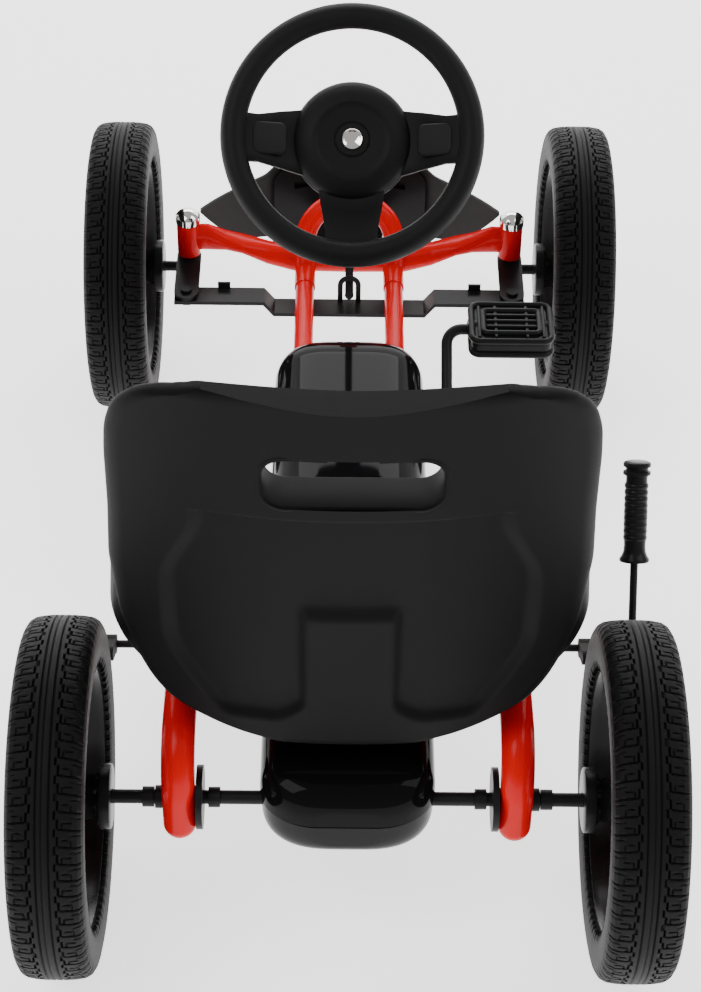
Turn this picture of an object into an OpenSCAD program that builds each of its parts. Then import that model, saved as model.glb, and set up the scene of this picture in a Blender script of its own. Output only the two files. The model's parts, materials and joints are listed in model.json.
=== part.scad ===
// Child's pedal go-kart chassis: a twin-tube steel frame with four spoked wheels,
// a bucket seat, crank drive through a chain, link steering and a hand brake on the rear tyres.
// The origin is on the ground, midway between the axles. +X is the driver's right, +Y is forward.

/* [Chassis] */
// Distance between the front and the rear axle
wheelbase = 684; // [640:2:740]
// Distance between the middles of the left and right tyres
track = 440; // [430:2:460]
// Diameter of the two long frame tubes
main_tube_d = 18; // [16:0.5:18]
// Distance between the two long frame tubes
main_tube_gap = 86; // [82:1:90]
// Height of the long frame tubes above the ground
main_tube_z = 148; // [148:0.5:149]
// Wall thickness of every steel tube
tube_wall = 1.5; // [1:0.1:2]

/* [Wheels] */
// Outer diameter of the four tyres
tyre_d = 280; // [270:1:284]
// Width of a tyre
tyre_w = 58; // [50:1:60]
// Outer diameter of the plastic rims
rim_d = 204; // [196:1:208]
// Width of a rim across its flanges
rim_w = 46; // [40:1:48]
// Number of spokes in a rim
spoke_count = 8; // [6:1:10]
// Diameter of the rear axle
axle_d = 11; // [10:0.5:12]
// Diameter of the front wheel spindles
spindle_d = 10; // [9:0.5:11]

/* [Steering] */
// Outer diameter of the steering wheel
steering_d = 225; // [205:1:230]
// Thickness of the steering wheel rim
steering_rim_t = 23; // [20:0.5:25]
// Height of the centre of the steering wheel
steering_z = 426; // [420:1:432]
// Angle of the steering column above the horizontal
column_angle = 42.5; // [42:0.1:43]
// Diameter of the steering column rod
column_d = 8; // [7:0.5:9]
// Length of a knuckle arm from its kingpin to the tie rod bolt
knuckle_arm = 58; // [56:1:60]
// Distance from the left kingpin to the right one
kingpin_gap = 314; // [310:1:320]

/* [Drive] */
// Distance of the crank behind the front axle
crank_back = 258; // [254:1:262]
// Height of the crank
crank_z = 163; // [163:0.1:163.4]
// Length of a crank arm
crank_arm = 85; // [80:1:88]
// Angle of the right crank arm above the horizontal
crank_rest_angle = 36; // [20:1:45]
// Number of teeth on the crank sprocket
crank_teeth = 18; // [18:1:19]
// Number of teeth on the rear axle sprocket
axle_teeth = 11; // [11:1:12]

/* [Seat] */
// Width of the seat across its wings
seat_w = 338; // [320:2:344]
// Height of the seat's backrest above the bottom of the pan
seat_h = 386; // [360:2:400]
// Angle that the backrest leans rearwards
seat_lean = 7; // [5:0.5:9]
// Length of the seat pan
pan_l = 262; // [250:2:270]

/* [Hidden] */
$fn = 64;
rear_y = -wheelbase / 2;
front_y = wheelbase / 2;
hub_z = tyre_d / 2;
half_track = track / 2;
tube_x = main_tube_gap / 2;
main_r = main_tube_d / 2;
main_bend_r = 40;
joint_gap = 0.4;
pin_play = 0.05;

// Steering hoop, front beam and kingpins
hoop_r = 10;
hoop_start_y = front_y - 44;
hoop_rise_y = front_y - 12;
hoop_top_y = front_y + 6;
hoop_top_z = 216;
hoop_angle = atan2(hoop_top_z - main_tube_z, hoop_top_y - hoop_rise_y);
hoop_bend_r = tube_x;
hoop_rise = norm([hoop_top_y - hoop_rise_y, hoop_top_z - main_tube_z]);
beam_stations = [
    // distance from the middle, height, half height, half thickness
    [0, 150, 12.5, 12.5],
    [54, 151, 12.5, 12.5],
    [80, 158, 11, 12.5],
    [104, 168, 7.5, 13],
    [120, 172, 9, 11],
    [138, 176, 14.5, 8],
    [152, 176, 14.5, 7.5]
];
kingpin_x = kingpin_gap / 2;
kingpin_tube_r = 11;
kingpin_r = 6;
kingpin_bottom_z = 157.5;
kingpin_top_z = 193.5;

// Steering column and linkage
steering_y = front_y - 197;
column_dir = [0, cos(column_angle), -sin(column_angle)];
column_r = column_d / 2;
column_end = 308;
column_tube_r = 9.5;
column_tube_at = 276;
knee = [front_y - 28, 159];
crank_tip = [front_y - 56, 149];
arm_w = 23.5;
link_bolt_r = 4;
spindle_l = half_track + 24 - kingpin_x;
dish_depth = 36;
pad_x = 71;
pad_t = 5;
arm_t = 4;
arm_top_z = 154;
link_t = 4;
link_w = 23;
link_top_z = 149.5;
link_mid_top_z = 136.5;
link_y = front_y - knuckle_arm;
link_mid_x = 72;
link_ramp = 10;
staple_r = 2.5;
staple_w = 22.5;
staple_h = 30;

// Rear frame, axle and brake
leg_x = 130;
leg_r = 13;
leg_y = rear_y - 8;
leg_top_z = 193;
leg_front_y = rear_y + 172;
cross_y = rear_y + 75;
cross_r = 12.5;
axle_r = axle_d / 2;
bearing_r = 9;
axle_plate_r = 25;
brake_y = rear_y + 175;
brake_z = 129;
brake_r = 3.25;
brake_x = 236;
brake_lever = 156;
brake_lean = 32;
brake_pad_angle = 27;
brake_pad_x = 205;
brake_pad_turn = 180 + atan2(brake_z - hub_z, brake_y - rear_y) - brake_pad_angle;

// Crank, sprockets and chain
crank_y = front_y - crank_back;
crank_r = 5;
crank_x = 88;
pedal_x = 146;
pedal_w = 78;
pedal_l = 60;
pedal_t = 24;
chain_pitch = 12.7;
crank_ring_r = chain_pitch / (2 * sin(180 / crank_teeth));
axle_ring_r = chain_pitch / (2 * sin(180 / axle_teeth));
chain_plate_t = 1.4;
chain_half_h = 4.2;
chain_inner = 5.4;

// Chain case
case_w = 136;
case_wall = 2.5;
case_rear_y = rear_y - axle_ring_r - chain_half_h - case_wall - 0.8;
case_front_y = front_y - 173;
case_corner_r = 32;
case_rear_top_z = 178.5;
case_step_z = 191.6;
case_front_top_z = crank_z + crank_ring_r + chain_half_h + case_wall + 1.2;
case_bottom_z = 98;
case_nose_r = 38;
case_rear_r = 26;
case_screw_r = 2;

// Seat, rails and seat support
seat_z = 214;
seat_y = rear_y - 8;
pan_t = 16;
pad_rise = 2;
back_t = 15;
seat_wing_x = 184;
back_bend_r = 262;
wing_t = 16;
rail_x = 34;
rail_l = 200;
rail_y = rear_y + 40;
rail_top_z = 207;
support_y = rear_y + 205;
support_r = 6;
support_top_z = 196;
slot_half = 34;
seat_bolt_r = 4;

// Front fairing
fairing_r = 190;
fairing_y = front_y + 90 - fairing_r;
fairing_half_w = 146;
fairing_t = 3;

// Small tools

function unit(v) = v / norm(v);
function bend_angle(a, b, c) =
    let (u = unit(b - a), w = unit(c - b)) atan2(u.x * w.y - u.y * w.x, u * w);
function bend_trim(a, b, c, bend_r) = bend_r * tan(abs(bend_angle(a, b, c)) / 2);
function side_point(p, x) = [x, p.x, p.y];

// Straight rod from one point to another
module rod(p, q, r) {
    d = q - p;
    translate(p)
        rotate([0, acos(d.z / norm(d)), atan2(d.y, d.x)])
            cylinder(h = norm(d), r = r);
}

// One bend of a rod that lies in the XY plane, round the corner b between a and c
module rod_bend(a, b, c, bend_r, r) {
    angle = bend_angle(a, b, c);
    u = unit(b - a);
    w = unit(c - b);
    side = sign(angle);
    first = b - u * bend_trim(a, b, c, bend_r);
    middle = first + side * bend_r * [-u.y, u.x];
    from = side > 0 ? first : b + w * bend_trim(a, b, c, bend_r);
    start = atan2(from.y - middle.y, from.x - middle.x);
    translate([middle.x, middle.y, 0])
        rotate([0, 0, start])
            rotate_extrude(angle = abs(angle))
                translate([bend_r, 0])
                    circle(r);
}

// Rod along a path in the XY plane, with a true bend at each inner corner
module bent_rod(path, bend_r, r) {
    last = len(path) - 1;
    for (i = [0 : last - 1]) {
        u = unit(path[i + 1] - path[i]);
        cut_a = i == 0 ? 0 : bend_trim(path[i - 1], path[i], path[i + 1], bend_r);
        cut_b = i == last - 1 ? 0 : bend_trim(path[i], path[i + 1], path[i + 2], bend_r);
        p = path[i] + u * cut_a;
        q = path[i + 1] - u * cut_b;
        rod([p.x, p.y, 0], [q.x, q.y, 0], r);
    }
    for (i = [1 : 1 : last - 1])
        rod_bend(path[i - 1], path[i], path[i + 1], bend_r, r);
}

// Moves the ends of a path outwards, for a bore that runs out of both ends
function stretched(path, by) =
    let (last = len(path) - 1)
    [for (i = [0 : last])
        i == 0 ? path[0] - by * unit(path[1] - path[0]) :
        i == last ? path[last] + by * unit(path[last] - path[last - 1]) :
        path[i]];

// Bent tube with a bore
module bent_tube(path, bend_r, r) {
    difference() {
        bent_rod(path, bend_r, r);
        bent_rod(stretched(path, 2), bend_r, r - tube_wall);
    }
}

// Turns a path drawn in the XY plane into the side plane at x
module side_plane(x) {
    translate([x, 0, 0])
        rotate([90, 0, 90])
            children();
}

// Turns a path drawn in the XY plane into the upright plane across the kart at y
module cross_plane(y) {
    translate([0, y, 0])
        rotate([90, 0, 0])
            children();
}

// Cylinder across the kart, centred on x
module across(x, y, z, r, l) {
    translate([x, y, z])
        rotate([0, 90, 0])
            cylinder(h = l, r = r, center = true);
}

// Box given by its middle and size
module block(middle, size) {
    translate(middle)
        cube(size, center = true);
}

// Rectangle with round corners
module round_rect(w, l, r) {
    union() {
        square([w - 2 * r, l], center = true);
        square([w, l - 2 * r], center = true);
        for (sx = [-1, 1])
            for (sy = [-1, 1])
                translate([sx * (w / 2 - r), sy * (l / 2 - r)])
                    circle(r);
    }
}

// Left and right copies of a thing made for the right side
module both_sides() {
    children();
    mirror([1, 0, 0])
        children();
}

// Puts a thing, drawn with +Z towards the driver, on the steering axis at distance t down it
module on_column(t) {
    translate([0, steering_y, steering_z] + t * column_dir)
        rotate([90 - column_angle, 0, 0])
            children();
}

// Frame

main_path = [
    [hoop_start_y, main_tube_z],
    [cross_y, main_tube_z],
    [cross_y, leg_top_z]
];

module main_tube(x) {
    color("red")
        difference() {
            side_plane(x)
                bent_tube(main_path, main_bend_r, main_r);
            across(x, cross_y, leg_top_z, cross_r, 60);
        }
}

// Steep arch of the hoop, and the two level tubes that lead to it
module hoop_solid() {
    arch_z = hoop_rise - hoop_bend_r;
    for (sx = [-1, 1]) {
        side_plane(sx * tube_x)
            rod([hoop_start_y, main_tube_z, 0], [hoop_rise_y, main_tube_z, 0], hoop_r);
        translate([sx * tube_x, hoop_rise_y, main_tube_z])
            sphere(r = hoop_r + 0.3);
        translate([0, hoop_rise_y, main_tube_z])
            rotate([hoop_angle, 0, 0])
                rod([sx * tube_x, 0, 0], [sx * tube_x, arch_z + 1, 0], hoop_r - 0.2);
    }
    translate([0, hoop_rise_y, main_tube_z])
        rotate([hoop_angle, 0, 0])
            translate([0, arch_z, 0])
                rotate_extrude(angle = 180)
                    translate([hoop_bend_r, 0])
                        circle(hoop_r);
}

module steering_hoop() {
    color("red")
        difference() {
            hoop_solid();
            // sockets for the swaged ends of the long tubes
            for (sx = [-1, 1])
                translate([sx * tube_x, hoop_start_y - 1, main_tube_z])
                    rotate([-90, 0, 0])
                        cylinder(h = 9, r = main_r - tube_wall);
        }
}

// One upright oval section of the front beam
module beam_section(station) {
    translate([station[0], front_y, station[1]])
        rotate([0, 90, 0])
            scale([station[2], station[3], 1])
                cylinder(h = 0.5, r = 1, center = true, $fn = 32);
}

module half_beam() {
    for (i = [0 : len(beam_stations) - 2])
        hull() {
            beam_section(beam_stations[i]);
            beam_section(beam_stations[i + 1]);
        }
}

module front_beam() {
    color("red")
        difference() {
            both_sides()
                half_beam();
            hoop_solid();
            for (sx = [-1, 1])
                translate([sx * kingpin_x, front_y, 0])
                    cylinder(h = tyre_d, r = kingpin_tube_r);
        }
}

module kingpin_tube(x) {
    color("red")
        translate([x, front_y, kingpin_bottom_z])
            difference() {
                cylinder(h = kingpin_top_z - kingpin_bottom_z, r = kingpin_tube_r);
                translate([0, 0, -1])
                    cylinder(h = tyre_d, r = kingpin_r + pin_play);
            }
}

// Bush tube on top of the hoop, in which the steering column turns
module column_tube() {
    color("red")
        difference() {
            on_column(column_tube_at)
                difference() {
                    cylinder(h = 36, r = column_tube_r, center = true);
                    cylinder(h = 40, r = column_r + pin_play, center = true);
                }
            across(0, hoop_top_y, hoop_top_z, hoop_r, 60);
        }
}

leg_path = [
    [leg_front_y, leg_top_z],
    [leg_y, leg_top_z],
    [leg_y, hub_z - 20]
];

// Rear frame leg, closed by round ends, with a bore for the axle bearing
module rear_leg(x) {
    color("red")
        difference() {
            union() {
                side_plane(x)
                    bent_rod(leg_path, 38, leg_r);
                translate([x, leg_y, hub_z - 20])
                    sphere(r = leg_r);
                translate([x, leg_front_y, leg_top_z])
                    sphere(r = leg_r);
            }
            across(x, rear_y, hub_z, bearing_r, 60);
        }
}

module rear_cross_tube() {
    color("red")
        difference() {
            across(0, cross_y, leg_top_z, cross_r, 2 * leg_x);
            across(0, cross_y, leg_top_z, cross_r - tube_wall, 2 * leg_x + 2);
            for (sx = [-1, 1])
                side_plane(sx * leg_x)
                    bent_rod(leg_path, 38, leg_r);
        }
}

support_path = [
    [-tube_x, main_tube_z],
    [-tube_x, support_top_z],
    [tube_x, support_top_z],
    [tube_x, main_tube_z]
];

// Inverted U that stands on the long tubes and carries the front of the seat rails
module seat_support() {
    color("red")
        difference() {
            cross_plane(support_y)
                bent_tube(support_path, 18, support_r);
            for (sx = [-1, 1])
                side_plane(sx * tube_x)
                    rod([rear_y, main_tube_z, 0], [front_y, main_tube_z, 0], main_r);
        }
}

// Slotted seat rails: each is a channel with a long slot for the seat knob's bolt
module seat_rails() {
    color("#202022")
        for (sx = [-1, 1])
            difference() {
                translate([sx * rail_x, rail_y + rail_l / 2, 0])
                    difference() {
                        block([0, 0, rail_top_z - 5], [30, rail_l, 10]);
                        block([0, 0, rail_top_z - 7], [24, rail_l + 2, 10]);
                        hull()
                            for (sy = [-1, 1])
                                translate([0, sy * slot_half, 0])
                                    cylinder(h = 300, r = seat_bolt_r + 0.5, $fn = 32);
                    }
                across(0, cross_y, leg_top_z, cross_r, 2 * leg_x);
                across(0, support_y, support_top_z, support_r, 2 * leg_x);
            }
}

// Black flange and bush that carry the rear axle on the inner face of each leg
module axle_bearing(side) {
    color("#151516")
        difference() {
            union() {
                across(side * (leg_x - leg_r - 3), rear_y, hub_z, axle_plate_r, 5);
                across(side * leg_x, rear_y, hub_z, bearing_r, 2 * leg_r + 11);
            }
            across(side * leg_x, rear_y, hub_z, axle_r + pin_play, 80);
        }
}

// Plate that stands on a long tube and carries the crank
module crank_bracket(x) {
    color("#202022")
        difference() {
            hull() {
                across(x, crank_y, crank_z, 15, 8);
                block([x, crank_y, main_tube_z - 6], [8, 46, 1]);
            }
            across(x, crank_y, crank_z, crank_r + pin_play, 20);
            side_plane(x)
                rod([rear_y, main_tube_z, 0], [front_y, main_tube_z, 0], main_r);
        }
}

// Plates that hang from the rear legs and carry the brake rod
module brake_brackets() {
    color("red")
        for (x = [-leg_x, leg_x])
            difference() {
                union() {
                    across(x, brake_y, brake_z, 9, 5);
                    block([x, brake_y - 6, (brake_z + leg_top_z) / 2], [5, 18, leg_top_z - brake_z]);
                }
                across(x, brake_y, brake_z, brake_r + pin_play, 20);
                side_plane(x)
                    rod([rear_y, leg_top_z, 0], [leg_front_y, leg_top_z, 0], leg_r);
                translate([x, leg_front_y, leg_top_z])
                    sphere(r = leg_r);
            }
}

// Chain case

// Side view of the case: low under the seat rails, high over the crank, round at both ends
module case_profile(inset) {
    w = inset;
    rear = case_rear_y + w;
    front = case_front_y - w;
    intersection() {
        union() {
            translate([rear + case_rear_r, case_bottom_z + w])
                square([front - case_nose_r - rear - case_rear_r, case_rear_top_z - case_bottom_z - 2 * w]);
            translate([rear, case_bottom_z + case_rear_r])
                square([front - rear, case_rear_top_z - case_rear_r - case_bottom_z - case_rear_r]);
            for (z = [case_bottom_z + w + case_rear_r, case_rear_top_z - w - case_rear_r])
                translate([rear + case_rear_r, z])
                    circle(case_rear_r);
            polygon([
                [rear_y + 92 + w, case_rear_top_z - w - 1],
                [rear_y + 92 + w, case_rear_top_z - w],
                [rear_y + 242 + w, case_step_z - w],
                [rear_y + 282 + w, case_front_top_z - w],
                [front - case_nose_r, case_front_top_z - w],
                [front - case_nose_r, case_rear_top_z - w - 1]
            ]);
            translate([front - case_nose_r, case_bottom_z + w + case_nose_r])
                square([case_nose_r, case_front_top_z - case_bottom_z - 2 * w - 2 * case_nose_r]);
            for (z = [case_bottom_z + w + case_nose_r, case_front_top_z - w - case_nose_r])
                translate([front - case_nose_r, z])
                    circle(case_nose_r);
        }
        translate([rear, case_bottom_z + w])
            square([front - rear, case_front_top_z - case_bottom_z - 2 * w]);
    }
}

// Solid with the case's plan and side view, smaller by inset on every side
module case_solid(inset) {
    mid_y = (case_rear_y + case_front_y) / 2;
    intersection() {
        translate([0, mid_y, 0])
            linear_extrude(tyre_d)
                round_rect(
                    case_w - 2 * inset,
                    case_front_y - case_rear_y - 2 * inset,
                    case_corner_r - inset
                );
        side_plane(-case_w)
            linear_extrude(2 * case_w)
                case_profile(inset);
    }
}

// Everything that passes through the walls of the case
module case_passages() {
    across(0, rear_y, hub_z, axle_r + 1.5, 2 * case_w);
    across(0, crank_y, crank_z, crank_r + 1.5, 2 * case_w);
    across(0, brake_y, brake_z, brake_r + 1.5, 2 * case_w);
    for (sx = [-1, 1]) {
        side_plane(sx * tube_x)
            bent_rod(main_path, main_bend_r, main_r + joint_gap);
        hull()
            for (inward = [0, 5])
                translate([sx * (tube_x - inward), support_y, main_tube_z])
                    cylinder(h = 100, r = main_r + joint_gap);
    }
}

module case_shell(low_z, high_z) {
    difference() {
        case_solid(0);
        case_solid(case_wall);
        case_passages();
        block([0, 0, low_z - 100], [200, 2 * wheelbase, 200]);
        block([0, 0, high_z + 100], [200, 2 * wheelbase, 200]);
    }
}

// Screw post inside the case, at each long side
module case_posts(r, low_z, high_z) {
    for (sx = [-1, 1])
        for (y = [rear_y + 130, rear_y + 350])
            translate([sx * (case_w / 2 - 6), y, low_z])
                cylinder(h = high_z - low_z, r = r);
}

module case_upper() {
    color("#0b0b0c")
        difference() {
            union() {
                case_shell(hub_z, tyre_d);
                case_posts(4.5, hub_z, hub_z + 14);
            }
            case_posts(case_screw_r, hub_z - 1, hub_z + 11);
        }
}

module case_lower() {
    color("#141415")
        difference() {
            union() {
                case_shell(0, hub_z);
                case_posts(4.5, case_bottom_z + 1, hub_z);
            }
            case_posts(case_screw_r, 0, hub_z + 1);
        }
}

module case_screws() {
    color("#8d8f92")
        union() {
            case_posts(case_screw_r, case_bottom_z, hub_z + 10);
            case_posts(3.8, case_bottom_z - 2, case_bottom_z);
        }
}

// Outline of the chain's pitch line, moved outwards by grow
module chain_outline(grow) {
    hull() {
        translate([rear_y, hub_z])
            circle(axle_ring_r + grow, $fn = 48);
        translate([crank_y, crank_z])
            circle(crank_ring_r + grow, $fn = 48);
    }
}

// Rollers on one straight run of the chain; side is 1 on the upper run and -1 on the lower one
module chain_rollers(side) {
    run = [crank_y - rear_y, crank_z - hub_z];
    tilt = atan2(run.y, run.x) + side * asin((crank_ring_r - axle_ring_r) / norm(run));
    along = [cos(tilt), sin(tilt)];
    across_run = side * [-sin(tilt), cos(tilt)];
    start = [rear_y, hub_z] + axle_ring_r * across_run;
    for (d = [3 * chain_pitch : chain_pitch : norm(run) - 4.5 * chain_pitch])
        across(0, (start + d * along).x, (start + d * along).y, 3.2, chain_inner + 0.2);
}

module drive_chain() {
    color("#6d6a63")
        union() {
            for (sx = [-1, 1])
                side_plane(sx * (chain_inner + chain_plate_t) / 2 - chain_plate_t / 2)
                    linear_extrude(chain_plate_t)
                        difference() {
                            chain_outline(chain_half_h);
                            chain_outline(-chain_half_h);
                        }
            chain_rollers(1);
            chain_rollers(-1);
        }
}

// Toothed disc for the chain, drawn round the Z axis
module sprocket(teeth, pitch_r, hub_r, bore_r) {
    difference() {
        union() {
            difference() {
                cylinder(h = 3.4, r = pitch_r + 3.2, center = true);
                for (i = [0 : teeth - 1])
                    rotate(i * 360 / teeth)
                        translate([pitch_r, 0, 0])
                            cylinder(h = 10, r = 3.6, center = true, $fn = 24);
            }
            cylinder(h = 16, r = hub_r, center = true);
        }
        cylinder(h = 40, r = bore_r, center = true);
    }
}

module axle_sprocket() {
    color("#77797c")
        translate([0, rear_y, hub_z])
            rotate([0, 90, 0])
                sprocket(axle_teeth, axle_ring_r, 13, axle_r);
}

module crank_sprocket() {
    color("#77797c")
        translate([0, crank_y, crank_z])
            rotate([0, 90, 0])
                sprocket(crank_teeth, crank_ring_r, 15, crank_r);
}

// Front fairing

// Front view of the fairing: a raised middle between two swept wings
module fairing_outline() {
    polygon([
        [-62, 222], [62, 222], [84, 203], [126, 199], [fairing_half_w, 198],
        [fairing_half_w - 18, 162], [100, 134], [60, 126],
        [-60, 126], [-100, 134], [18 - fairing_half_w, 162], [-fairing_half_w, 198],
        [-126, 199], [-84, 203]
    ]);
}

// Upright curved sheet between two radii, as seen from above
module fairing_sheet(outer_r, inner_r) {
    translate([0, fairing_y, 0])
        difference() {
            cylinder(h = tyre_d, r = outer_r, $fn = 128);
            translate([0, 0, -1])
                cylinder(h = tyre_d + 2, r = inner_r, $fn = 128);
        }
}

module front_fairing() {
    color("#3c3d3f")
        intersection() {
            fairing_sheet(fairing_r, fairing_r - fairing_t);
            translate([0, fairing_y + fairing_r, 0])
                rotate([90, 0, 0])
                    linear_extrude(fairing_r)
                        fairing_outline();
        }
}

// Dark panel behind the middle of the fairing, with three slots
module fairing_insert() {
    color("#121213")
        difference() {
            intersection() {
                fairing_sheet(fairing_r - fairing_t, fairing_r - 3 * fairing_t);
                translate([0, fairing_y + fairing_r, 170])
                    rotate([90, 0, 0])
                        linear_extrude(fairing_r)
                            round_rect(150, 78, 16);
            }
            for (x = [-42, 0, 42])
                block([x, fairing_y + fairing_r, 186], [26, 60, 7]);
        }
}

// Two strips that carry the fairing from the front beam
module fairing_brackets() {
    color("#202022")
        for (sx = [-1, 1])
            difference() {
                block(
                    [sx * 24, (front_y + fairing_y + fairing_r) / 2, beam_stations[0][1]],
                    [18, fairing_y + fairing_r - front_y, 4]
                );
                both_sides()
                    half_beam();
                translate([0, fairing_y, 0])
                    difference() {
                        cylinder(h = tyre_d, r = 2 * fairing_r, $fn = 128);
                        cylinder(h = tyre_d, r = fairing_r - 3 * fairing_t, $fn = 128);
                    }
            }
}

// Seat

function seat_outline_point(a, half_w, low, high) =
    let (c = cos(a), s = sin(a))
    let (power = s > 0 ? 0.42 : 0.8)
    [half_w * sign(c) * pow(abs(c), power), (s > 0 ? high : low) * sign(s) * pow(abs(s), power)];

// Rear view of the backrest: square shoulders above, a round foot below
module back_outline(grow) {
    polygon([
        for (a = [0 : 6 : 354])
            seat_outline_point(a, seat_w / 2 + grow, seat_h * 0.52 + grow, seat_h * 0.48 + grow)
    ]);
}

// Curved backrest, leaning rearwards about its foot
module seat_back() {
    translate([0, seat_y, seat_z])
        rotate([seat_lean, 0, 0])
            intersection() {
                translate([0, back_bend_r, 0])
                    difference() {
                        cylinder(h = seat_h, r = back_bend_r, $fn = 128);
                        translate([0, 0, -1])
                            cylinder(h = seat_h + 2, r = back_bend_r - back_t, $fn = 128);
                    }
                translate([0, seat_w, seat_h * 0.52])
                    rotate([90, 0, 0])
                        linear_extrude(2 * seat_w)
                            back_outline(0);
            }
}

// Side wing that joins the backrest to the pan
module seat_wing() {
    side_plane(seat_wing_x - wing_t)
        linear_extrude(wing_t)
            polygon([
                [seat_y + 34, seat_z + 250],
                [seat_y + 70, seat_z + 236],
                [seat_y + 120, seat_z + 120],
                [seat_y + pan_l - 40, seat_z + 52],
                [seat_y + pan_l - 14, seat_z + 10],
                [seat_y + 40, seat_z + 4],
                [seat_y + 6, seat_z + 60]
            ]);
}

module seat_shell() {
    color("#1c1c1d")
        difference() {
            union() {
                seat_back();
                both_sides()
                    seat_wing();
                translate([0, seat_y + pan_l / 2 + 6, seat_z])
                    linear_extrude(pan_t)
                        round_rect(2 * seat_wing_x - 12, pan_l - 12, 40);
                // slightly raised flat area to sit on
                translate([0, seat_y + 150, seat_z])
                    linear_extrude(pan_t + pad_rise)
                        round_rect(240, 170, 30);
            }
            // hand slot through the backrest
            translate([0, seat_y - 40, seat_z + 295])
                rotate([-90, 0, 0])
                    linear_extrude(60)
                        round_rect(112, 36, 15);
            for (sx = [-1, 1])
                translate([sx * rail_x, rail_y + rail_l / 2, seat_z - 1])
                    cylinder(h = pan_t - 4, r = seat_bolt_r);
        }
}

// Flat bars under the pan that slide on the rails
module seat_slides() {
    color("#9a9c9f")
        for (sx = [-1, 1])
            difference() {
                block(
                    [sx * rail_x, rail_y + rail_l / 2, (seat_z + rail_top_z + joint_gap) / 2],
                    [26, 120, seat_z - rail_top_z - joint_gap]
                );
                translate([sx * rail_x, rail_y + rail_l / 2, 0])
                    cylinder(h = 300, r = seat_bolt_r);
            }
}

// Bolt and hand knob that clamp the seat to each rail
module seat_knobs() {
    color("#111112")
        for (sx = [-1, 1])
            translate([sx * rail_x, rail_y + rail_l / 2, 0]) {
                translate([0, 0, rail_top_z - 18])
                    cylinder(h = seat_z + pan_t - 6 - rail_top_z + 18, r = seat_bolt_r);
                difference() {
                    translate([0, 0, rail_top_z - 20])
                        cylinder(h = 9.6, r = 12);
                    for (i = [0 : 5])
                        rotate(i * 60)
                            translate([14, 0, rail_top_z - 21])
                                cylinder(h = 12, r = 4);
                }
            }
}

// Wheels, drawn round the Z axis with +Z outboard

function window_point(r, a) = [r * cos(a), r * sin(a)];

// Triangular window between two spokes
module rim_window(turn) {
    step = 360 / spoke_count;
    rotate(turn)
        translate([0, 0, -rim_w])
            linear_extrude(2 * rim_w)
                polygon([
                    window_point(36, 0),
                    window_point(rim_d / 2 - 18, -step * 0.34),
                    window_point(rim_d / 2 - 14, -step * 0.2),
                    window_point(rim_d / 2 - 13, 0),
                    window_point(rim_d / 2 - 14, step * 0.2),
                    window_point(rim_d / 2 - 18, step * 0.34)
                ]);
}

module rim(bore_r) {
    step = 360 / spoke_count;
    difference() {
        union() {
            difference() {
                cylinder(h = rim_w, r = rim_d / 2, center = true);
                cylinder(h = rim_w + 2, r = rim_d / 2 - 7, center = true);
            }
            difference() {
                cylinder(h = 14, r = rim_d / 2 - 5, center = true);
                for (i = [0 : spoke_count - 1])
                    rim_window(i * step);
                for (i = [0 : spoke_count - 1])
                    rotate((i + 0.5) * step)
                        translate([rim_d / 2 - 28, 0, -20])
                            cylinder(h = 40, r = 7);
            }
            translate([0, 0, -38])
                cylinder(h = 58, r = 15);
            translate([0, 0, -38])
                cylinder(h = 10, r = 25.5);
        }
        translate([0, 0, -60])
            cylinder(h = 120, r = bore_r);
    }
}

module tyre() {
    wall = (tyre_d - rim_d) / 2;
    rotate_extrude($fn = 128)
        translate([rim_d / 2 + wall / 2, 0])
            round_rect(wall, tyre_w, 11);
}

// Puts a wheel part at an axle, on the right for side 1 and on the left for side -1
module at_wheel(side, y) {
    translate([side * half_track, y, hub_z])
        rotate([0, side * 90, 0])
            children();
}

module wheel_rim(side, y, bore_r) {
    color("#161617")
        at_wheel(side, y)
            rim(bore_r);
}

module wheel_tyre(side, y) {
    color("#232323")
        at_wheel(side, y)
            tyre();
}

// Domed nut on the outer end of an axle or a spindle
module wheel_nut(side, y, bore_r) {
    color("silver")
        at_wheel(side, y)
            difference() {
                union() {
                    translate([0, 0, 20.2])
                        cylinder(h = 4, r = 11);
                    translate([0, 0, 24.2])
                        cylinder(h = 3, r = 8, $fn = 6);
                }
                translate([0, 0, 19])
                    cylinder(h = 7, r = bore_r);
            }
}

// Rear axle

module rear_axle() {
    color("#2a2a2c")
        across(0, rear_y, hub_z, axle_r, 2 * (half_track + 25));
}

// Spacer rings beside each bearing
module axle_spacers() {
    color("#2a2a2c")
        for (sx = [-1, 1])
            for (at = [[leg_x - 27, 9], [leg_x + 24, 9], [12, 6]])
                difference() {
                    across(sx * at[0], rear_y, hub_z, 8, at[1]);
                    across(sx * at[0], rear_y, hub_z, axle_r, 40);
                }
}

module rear_nuts() {
    for (side = [-1, 1])
        wheel_nut(side, rear_y, axle_r);
}

// Crank and pedals

crank_path = [
    [pedal_x + pedal_w / 2 + 2, crank_arm],
    [crank_x, crank_arm],
    [crank_x, 0],
    [-crank_x, 0],
    [-crank_x, -crank_arm],
    [-pedal_x - pedal_w / 2 - 2, -crank_arm]
];

module crank_shaft() {
    color("#1b1b1c")
        translate([0, crank_y, crank_z])
            rotate([crank_rest_angle, 0, 0])
                bent_rod(crank_path, 14, crank_r);
}

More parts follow.
